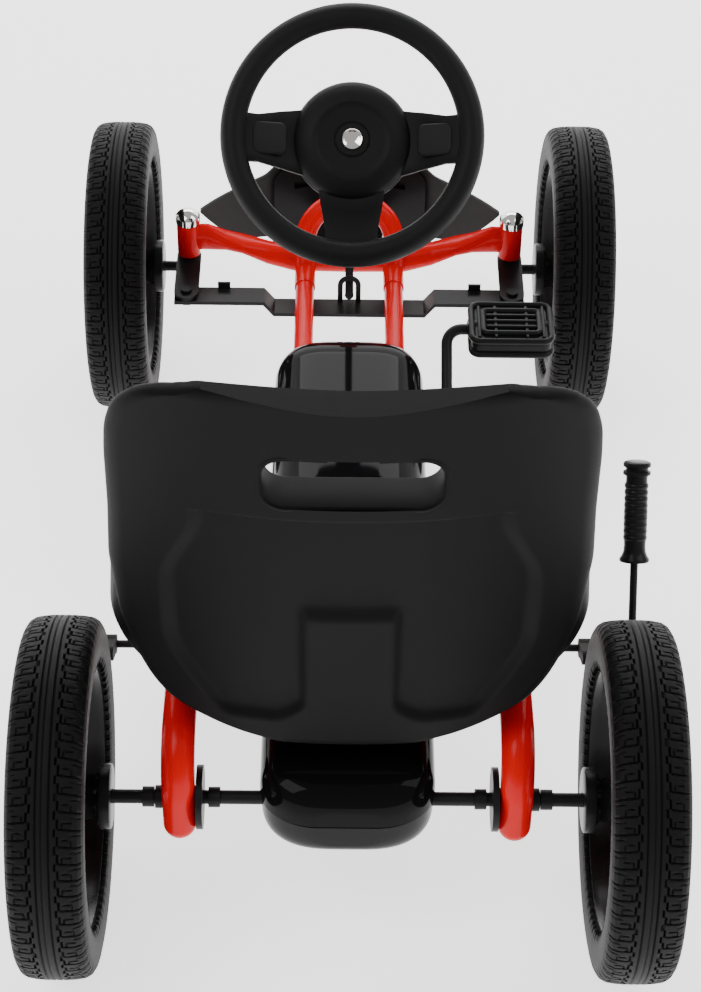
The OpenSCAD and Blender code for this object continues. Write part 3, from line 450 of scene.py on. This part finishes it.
def make_seat_back():
    columns = np.sin(np.linspace(-1, 1, 181) * math.pi / 2 * 0.985) / math.sin(math.pi / 2 * 0.985)
    heights = np.concatenate([np.linspace(0, 24, 22), np.linspace(25.5, 356, 186), np.linspace(357, 376, 24)])
    width = eased(heights, BACK_WIDTH, 7.0)
    x = columns[None, :] * width[:, None]
    h = heights[:, None] + np.zeros_like(x)
    # the top edge dips a little in the middle
    h = h - 12.0 * smooth_step((h - 300.0) / 76.0) * (1.0 - smooth_step(np.abs(x) / 104.0))
    rear = back_surface(x, h)
    edge = np.minimum(width[:, None] - np.abs(x), np.minimum(h * 0.9 + 2, 376.0 - h + 1.0))
    rounding = 9.0 * (1.0 - np.sqrt(np.clip(1.0 - (1.0 - np.clip(edge / 11.0, 0, 1)) ** 2, 0, 1)))
    crisp = smooth_step((h - 330.0) / 20.0) * (1.0 - smooth_step((np.abs(x) - 40.0) / 90.0))
    rounding = rounding * (1.0 - 0.8 * crisp)
    lip = 13.0 * np.exp(-(((h - 366.0) / 22.0) ** 2)) * (1.0 - smooth_step(np.abs(x) / 112.0))
    front = rear + 13.5 - rounding * 0.6 + lip
    rear = rear + rounding * 0.8
    hole = (np.abs(x) < 66) & (h > 270) & (h < 328)

    def in_slot(px, ph):
        dx, dh = max(abs(px) - 45.0, 0.0), max(abs(ph - SLOT_H) - 7.0, 0.0)
        return math.hypot(dx, dh) < 17.5

    shape = Shape()
    m, n = x.shape
    for surface in (rear, front):
        base = len(shape.points)
        grid = np.stack([x, surface, BACK_FOOT_Z + h], axis=-1)
        shape.points.extend(grid.reshape(-1, 3).tolist())
        for i in range(m - 1):
            for j in range(n - 1):
                middle_x = (x[i, j] + x[i + 1, j + 1]) / 2
                middle_h = (h[i, j] + h[i + 1, j + 1]) / 2
                if hole[i, j] and in_slot(middle_x, middle_h):
                    continue
                a = base + i * n + j
                shape.faces.append((a, a + 1, a + n + 1, a + n))
    shape.join_edges(m, n)
    # collar round the hand slot, deeper than the wall
    loops = []
    collar = (
        (5.5, 0.6), (4.6, -0.3), (2.2, -0.6), (0.6, 0.8), (0.0, 4.0), (0.0, 30.0),
        (1.2, 31.6), (4.5, 31.8), (4.5, 12.0),
    )
    for grow, depth in collar:
        loop = []
        for q in range(96):
            t = 2 * math.pi * q / 96
            sx, sh = math.copysign(1, math.cos(t)), math.copysign(1, math.sin(t))
            px = sx * 45.0 + (15.0 + grow) * math.cos(t)
            ph = SLOT_H + sh * 7.0 + (15.0 + grow) * math.sin(t)
            py = float(back_surface(np.array(px), np.array(ph)))
            loop.append((px, py + depth, BACK_FOOT_Z + ph))
        loops.append(loop)
    shape.grid(loops, close_v=True)
    return shape.make("skin_seat_back", "seat_plastic", "seat", ["seat_shell"])


def make_seat_pan():
    """Pan and side bolsters: one thick sheet that is U-shaped in every cross section."""
    stations = np.linspace(0, 1, 72)
    sides = np.linspace(-1, 1, 121)
    y = PAN_REAR_Y + 234.0 * stations
    wings = [
        (PAN_REAR_Y, 150), (-300, 174), (-276, 178), (-250, 150), (-225, 104), (-190, 70),
        (-130, 48), (-104, 26), (-92, 15),
    ]
    sides_x = [
        (PAN_REAR_Y, 150), (-306, 172), (-285, 180), (-180, 180), (-120, 172), (-104, 160), (-92, 140),
    ]
    height, width = eased(y, wings, 12), eased(y, sides_x, 10)
    rows_out, rows_in = [], []
    for k, yy in enumerate(y):
        h, w = float(height[k]), float(width[k])
        for rows, inset in ((rows_out, 0.0), (rows_in, PAN_WALL)):
            row = []
            corner = 34.0 + 62.0 * float(1.0 - smooth_step((yy - PAN_REAR_Y) / 150.0))
            flat = w - inset - corner
            length_side = max(h - inset - corner, 0.01)
            total = flat + corner * math.pi / 2 + length_side
            for t in sides:
                d = abs(t) * total
                if d < flat:
                    px, pz = d, 0.0
                elif d < flat + corner * math.pi / 2:
                    a = (d - flat) / corner
                    px, pz = flat + corner * math.sin(a), corner * (1 - math.cos(a))
                else:
                    px, pz = flat + corner, corner + (d - flat - corner * math.pi / 2)
                lean = 0.06 * max(pz - corner, 0.0)
                # flat area of the pan, 2 mm above the rest of its upper face
                along = smooth_step((85.0 - abs(yy + 200.0)) / 4.0)
                raised = 2.0 * float(smooth_step((120.0 - px) / 4.0) * along)
                pz = pz + (raised if inset else 0.0)
                row.append((math.copysign(px - lean, t), yy, PAN_UNDER_Z + inset + pz))
            rows.append(row)
    shape = Shape()
    out, inn = np.array(rows_out), np.array(rows_in)
    m, n = out.shape[:2]
    shape.grid(out)
    shape.grid(inn)
    shape.join_edges(m, n)
    obj = shape.make("skin_seat_pan", "seat_plastic", "seat", ["seat_shell"])
    soften = obj.modifiers.new("soften", "BEVEL")
    soften.width = 0.003
    soften.segments = 3
    soften.limit_method = "ANGLE"
    soften.angle_limit = math.radians(50)
    return obj


# ---------------------------------------------------------------- chain case


def case_station(f):
    """Position, half width, top and bottom of the case at fraction f from its rear end to its nose."""
    y = CASE_REAR_Y + (CASE_NOSE_Y - CASE_REAR_Y) * f
    rear, nose = y - CASE_REAR_Y, CASE_NOSE_Y - y
    round_rear = math.sqrt(max(0.0, 1.0 - (1.0 - min(rear / 36.0, 1.0)) ** 2.0))
    round_nose = math.sqrt(max(0.0, 1.0 - (1.0 - min(nose / 46.0, 1.0)) ** 2.0))
    full = min(round_rear, round_nose)
    ridge = [(CASE_REAR_Y, 177), (-250, 177.6), (-100, 190.6), (-60, 206.4), (CASE_NOSE_Y, 206.6)]
    width = 68.0 * (0.34 + 0.66 * full)
    top = float(eased(y, ridge, 12.0))
    top = CASE_SEAM_Z + (top - CASE_SEAM_Z) * (0.42 + 0.58 * full)
    bottom = CASE_SEAM_Z - 42.0 * (0.5 + 0.5 * full)
    return y, width, top, bottom


def make_case():
    fractions = np.concatenate([
        (1 - np.cos(np.linspace(0, math.pi / 2, 26))) * 0.07,
        np.linspace(0.075, 0.905, 60),
        1.0 - (1 - np.sin(np.linspace(0, math.pi / 2, 26))) * 0.09,
    ])
    # each section is a superellipse; 1 would be round
    squareness = 0.5
    for name, slot, sign, seam in (
        ("skin_case_upper", "case_gloss", 1, 0.6), ("skin_case_lower", "case_satin", -1, -0.6)
    ):
        rows = []
        for f in fractions:
            y, w, top, bottom = case_station(float(f))
            if sign < 0:
                w = w - 1.2
            reach = (top - CASE_SEAM_Z) if sign > 0 else (CASE_SEAM_Z - bottom)
            row = [(-w + 2.0, y, CASE_SEAM_Z + seam)]
            for a in np.linspace(math.pi, 0, 57):
                c, s = math.cos(a), math.sin(a)
                x = w * math.copysign(abs(c) ** squareness, c)
                z = CASE_SEAM_Z + seam + sign * (reach - 0.6) * abs(s) ** squareness
                row.append((x, y, z))
            row.append((w - 2.0, y, CASE_SEAM_Z + seam))
            rows.append(row)
        shape = Shape()
        shape.grid(rows, cap=True)
        shape.make(name, slot, "root", [name.replace("skin_", "")])
    # small tab on the seam at the rear
    tab = Shape()
    rounded_box(tab, (0, 0, 0), (40, 10, 4), 1.9)
    tab.place(Matrix.Translation((0, -368.2, 138.5)) @ Matrix.Rotation(math.pi / 2, 4, "X"))
    tab.make("case_tab", "case_satin", "root")


# ---------------------------------------------------------------- steering wheel


def on_column(matrix=Matrix.Identity(4)):
    """Places a shape drawn about the column's axis, with +Z towards the driver."""
    turn = Matrix.Rotation(math.pi / 2 - COLUMN_ANGLE, 4, "X")
    return Matrix.Translation(STEERING) @ turn @ matrix


def plate(shape, left, right, z_of, thickness, steps=16, across=15):
    """Spoke between two edge curves; left and right are lists of (x, y) points of equal length."""
    left, right = np.array(left, float), np.array(right, float)
    f = np.linspace(0, len(left) - 1, steps)
    a = np.stack([np.interp(f, range(len(left)), left[:, k]) for k in (0, 1)], -1)
    b = np.stack([np.interp(f, range(len(right)), right[:, k]) for k in (0, 1)], -1)
    rows = []
    for p, q in zip(a, b):
        top = []
        for t in np.linspace(0, 1, across):
            x, y = p * (1 - t) + q * t
            fall = 2.6 * (1 - math.sqrt(max(0.0, 1 - abs(2 * t - 1) ** 6)))
            top.append((x, y, z_of(math.hypot(x, y)) - fall))
        under = [(x, y, z_of(math.hypot(x, y)) - thickness) for x, y, _ in reversed(top)]
        rows.append(top + under)
    shape.grid(rows, close_v=True, cap=True)


def make_steering_wheel():
    ring = Shape()
    big, small = 101.0, 11.4
    rows = []
    for t in np.linspace(0, 2 * math.pi, 192, endpoint=False):
        row = []
        for a in np.linspace(0, 2 * math.pi, 40, endpoint=False):
            r = small * (1 - 0.05 * math.cos(2 * a))
            out = big + r * math.cos(a)
            row.append((out * math.cos(t), out * math.sin(t), r * math.sin(a)))
        rows.append(row)
    ring.grid(rows, close_u=True, close_v=True)

    def dish(r):
        """Height of the spokes' upper face at radius r: the hub lies below the ring."""
        return -31.5 + 27.0 * float(smooth_step((r - 46.0) / 52.0))

    for hand in (-1, 1):
        top = [(40, 27), (60, 24), (80, 19.5), (88, 19.8), (93, 24), (95, 32)]
        low = [(40, -30), (60, -25), (80, -21), (88, -21.2), (93, -25), (95, -33)]
        top, low = ([(hand * x, y) for x, y in edge] for edge in (top, low))
        plate(ring, top, low, dish, 9.0)
    plate(
        ring,
        [(-29, -36), (-26.5, -56), (-22, -80), (-23, -90), (-28, -95)],
        [(29, -36), (26.5, -56), (22, -80), (23, -90), (28, -95)],
        dish, 9.0,
    )
    # socket behind the hub that takes the column
    ring.lathe(
        [
            (4.3, -69.5), (13.5, -69.5), (15, -68), (15, -50), (20, -46), (50.8, -46), (52, -44),
            (52, -38), (50.5, -36), (4.3, -36),
        ],
        72,
    )
    ring.place(on_column())
    ring.make("skin_steering_wheel", "steering_plastic", "steering", ["steering_wheel"])

    hub = Shape()
    hub.lathe(
        [
            (50.6, -38.0), (51.2, -34.0), (49.8, -30.4), (46.5, -27.4), (41.0, -24.6),
            (36.0, -22.8), (33.2, -22.1), (32.0, -22.3), (31.2, -22.9), (27.0, -23.4),
            (17.0, -23.4), (15.6, -23.6), (15.2, -24.4), (14.2, -24.4),
        ],
        96,
    )
    hub.place(on_column())
    hub.make("skin_steering_hub", "steering_plastic", "steering", ["steering_hub"])

    face = Shape()
    face.lathe([(0.01, -22.7), (10.0, -22.7), (13.6, -22.9), (14.4, -23.6), (14.4, -24.2)], 64)
    face.place(on_column())
    face.make("emblem_base", "steering_plastic", "steering", ["hub_emblem"])
    emblem = Shape()
    emblem.lathe([(0.01, -21.2), (6.4, -21.4), (7.0, -21.0), (8.4, -20.7), (9.0, -21.2), (9.2, -22.8)], 64)
    emblem.place(on_column())
    emblem.make("skin_hub_emblem", "bright_chrome", "steering", ["hub_emblem"])

    pads = Shape()
    for hand in (-1, 1):
        start = len(pads.points)
        rounded_box(pads, (0, 0, 0), (33, 28, 7), 6.5, 6)
        tilt = Matrix.Rotation(-hand * math.radians(23), 4, "Y")
        pads.place(on_column(Matrix.Translation((hand * 71.5, -0.5, -17.6)) @ tilt), start)
    pads.make("skin_spoke_pads", "moulded_black", "steering", ["spoke_pads"])


# ---------------------------------------------------------------- pedals and grip


def make_pedal(node):
    """Pedal with the same bars above and below, so it works either way up."""
    low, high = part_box(node)
    middle = (low + high) / 2 / MM
    w, l, t = PEDAL_SIZE
    shape = Shape()
    rounded_box(shape, (0, 0, 0), (w - 6, l - 6, t - 9), 7.0, 5)
    for sign in (-1, 1):
        for inset, high_z in ((0.0, t / 2 - 1.2), (10.5, t / 2 - 0.2)):
            # raised frame, a rounded loop of bar
            loop = []
            hw, hl, r = w / 2 - 3.2 - inset, l / 2 - 3.2 - inset, 8.0 - inset * 0.35
            for q in range(4):
                sx, sy = CORNERS[q]
                for k in range(9):
                    a = q * math.pi / 2 + math.pi / 16 * k
                    x, y = sx * (hw - r) + r * math.cos(a), sy * (hl - r) + r * math.sin(a)
                    loop.append(Vector((x, y, 0)))
            rows = []
            count = len(loop)
            for k, p in enumerate(loop):
                d = (loop[(k + 1) % count] - loop[k - 1]).normalized()
                n = Vector((-d.y, d.x, 0))
                row = []
                for a in range(10):
                    c, s = math.cos(a * math.pi / 5), math.sin(a * math.pi / 5)
                    row.append(tuple(p + n * 3.0 * c + Vector((0, 0, sign * (high_z - 3.2 + 3.2 * s)))))
                rows.append(row)
            shape.grid(rows, close_u=True, close_v=True)
        for y in (-8.0, 8.0, 0.0):
            rounded_box(shape, (0, y, sign * (t / 2 - 3.6)), (w - 32, 3.4, 6.0), 1.6, 3)
        for x in (-29.0, 29.0, -14.0, 14.0):
            rounded_box(shape, (x, 0, sign * (t / 2 - 4.4)), (3.2, l - 14, 5.0), 1.5, 3)
    # end collars where the crank passes
    start = len(shape.points)
    shape.lathe(
        [
            (5.2, -w / 2 + 0.3), (8.4, -w / 2 + 0.3), (9.2, -w / 2 + 1.4),
            (9.2, w / 2 - 1.4), (8.4, w / 2 - 0.3), (5.2, w / 2 - 0.3),
        ],
        32,
    )
    shape.place(Matrix.Rotation(math.pi / 2, 4, "Y"), start)
    shape.place(Matrix.Translation(middle))
    shape.make(f"skin_{node}", "pedal_plastic", node, [node])


def make_grip():
    """Rubber grip, drawn along the lever from its pivot."""
    shape = Shape()
    shape.lathe(
        [
            (3.3, 74.2), (12.0, 74.2), (12.5, 75.2), (12.3, 76.6), (10.6, 79.0), (9.3, 82.5), (8.9, 88.0),
            (9.5, 98.0), (9.7, 112.0), (9.4, 126.0), (9.0, 138.0), (8.8, 144.2), (9.2, 146.2), (11.2, 147.0),
            (11.5, 148.4), (11.2, 149.8), (9.4, 150.6), (9.2, 151.8), (9.6, 153.0), (11.3, 153.8),
            (11.5, 155.6), (11.0, 157.2), (9.0, 158.0), (0.01, 158.0),
        ],
        64,
    )
    for k in range(9):
        rib = ((9.3, 92.5), (9.8, 93.4), (9.8, 95.6), (9.3, 96.5))
        shape.lathe([(r, z + 5.4 * k) for r, z in rib], 64)
    shape.place(Matrix.Translation(BRAKE_PIVOT) @ Matrix.Rotation(-BRAKE_LEAN, 4, "X"))
    shape.make("skin_brake_grip", "grip_rubber", "brake", ["brake_grip"])


# ---------------------------------------------------------------- fairing


def make_fairing():
    """Curved front sheet with swept wings and a turned edge."""
    top = [(0, 222), (58, 221.5), (68, 217), (84, 204), (104, 200.5), (126, 199), (146, 198)]
    low = [(0, 126), (60, 126.4), (80, 130), (100, 135), (118, 150), (130, 166), (140, 184), (146, 197)]
    xs = np.linspace(-145.6, 145.6, 181)
    up = np.linspace(0, 1, 31)
    shape = Shape()
    for inner in (0.0, 2.8):
        rows = []
        for x in xs:
            high = float(eased(abs(x), top, 3.0)) if abs(x) < 142 else 198.2
            base = float(eased(abs(x), low, 3.0)) if abs(x) < 142 else float(lerp_table(abs(x), low))
            base = min(base, high - 0.8)
            row = []
            for f in up:
                z = base + (high - base) * f
                bulge = 3.5 * math.sin(math.pi * f) * (1 - (abs(x) / 146) ** 2)
                y = 242.0 + math.sqrt((189.8 - inner - (3.5 - bulge)) ** 2 - x * x)
                row.append((x, y, z))
            rows.append(row)
        shape.grid(rows)
    m, n = len(xs), len(up)
    shape.join_edges(m, n)
    shape.make("skin_front_fairing", "fairing_grey", "root", ["front_fairing"])


# ---------------------------------------------------------------- studio


def make_stage():
    """Paper floor that curves up into a backdrop in front of the kart."""
    floor_mesh = bpy.data.meshes.new("floor")
    work = bmesh.new()
    steps = [(-6.0, 0.0), (3.0, 0.0)]
    turns = np.linspace(0.1, math.pi / 2, 14)
    steps += [(3.0 + 1.5 * math.sin(a), 1.5 * (1 - math.cos(a))) for a in turns]
    steps += [(4.5, 6.0)]
    rows = [[work.verts.new((x, y, z - 0.0006)) for x in (-7.0, 7.0)] for y, z in steps]
    for r0, r1 in zip(rows, rows[1:]):
        face = work.faces.new((r0[0], r0[1], r1[1], r1[0]))
        face.smooth = True
    work.to_mesh(floor_mesh)
    work.free()
    floor = bpy.data.objects.new("floor", floor_mesh)
    bpy.context.scene.collection.objects.link(floor)
    paper = grained("floor_white", (0.97, 0.97, 0.97), 0.8, 60, 0.02, 0.05, 0.01, specular=0.1)
    glow = paper.node_tree.nodes["Principled BSDF"]
    glow.inputs["Emission Color"].default_value = (1.0, 1.0, 1.0, 1.0)
    glow.inputs["Emission Strength"].default_value = 1.6
    floor_mesh.materials.append(paper)


def add_light(name, location, target, size, power):
    data = bpy.data.lights.new(name, "AREA")
    data.shape = "RECTANGLE"
    data.size, data.size_y = size
    data.energy = power
    light = bpy.data.objects.new(name, data)
    bpy.context.scene.collection.objects.link(light)
    light.location = location
    light.rotation_euler = (Vector(target) - Vector(location)).to_track_quat("-Z", "Y").to_euler()


def make_lights():
    world = bpy.data.worlds.new("studio")
    bpy.context.scene.world = world
    world.use_nodes = True
    background = world.node_tree.nodes["Background"]
    background.inputs["Color"].default_value = (1.0, 1.0, 1.0, 1.0)
    background.inputs["Strength"].default_value = 0.5
    add_light("key", (-1.6, -1.2, 2.8), (0, 0, 0.2), (1.6, 1.6), 42)
    add_light("fill", (1.9, -0.4, 2.2), (0, 0, 0.2), (1.2, 2.0), 26)
    add_light("front", (0.0, 2.4, 2.0), (0, 0.1, 0.2), (2.4, 0.8), 30)


def make_camera():
    data = bpy.data.cameras.new("camera")
    data.lens = 87.1
    data.sensor_width = 36.0
    camera = bpy.data.objects.new("camera", data)
    bpy.context.scene.collection.objects.link(camera)
    yaw, pitch, roll = -0.00848, 0.73582, 0.01502
    forward = Vector((-math.sin(yaw) * math.cos(pitch), math.cos(yaw) * math.cos(pitch), -math.sin(pitch)))
    right = Vector((math.cos(yaw), math.sin(yaw), 0.0))
    up = right.cross(forward)
    turned_right = right * math.cos(roll) + up * math.sin(roll)
    turned_up = up * math.cos(roll) - right * math.sin(roll)
    camera.matrix_world = Matrix(
        (
            (turned_right.x, turned_up.x, -forward.x, -0.0115),
            (turned_right.y, turned_up.y, -forward.y, -1.5629),
            (turned_right.z, turned_up.z, -forward.z, 1.5612),
            (0, 0, 0, 1),
        )
    )
    bpy.context.scene.camera = camera


paint_cad_nodes()
make_wheels()
make_seat_back()
make_seat_pan()
make_case()
make_steering_wheel()
make_pedal("pedal_left")
make_pedal("pedal_right")
make_grip()
make_fairing()
make_stage()
make_lights()
make_camera()

bpy.context.view_layer.update()
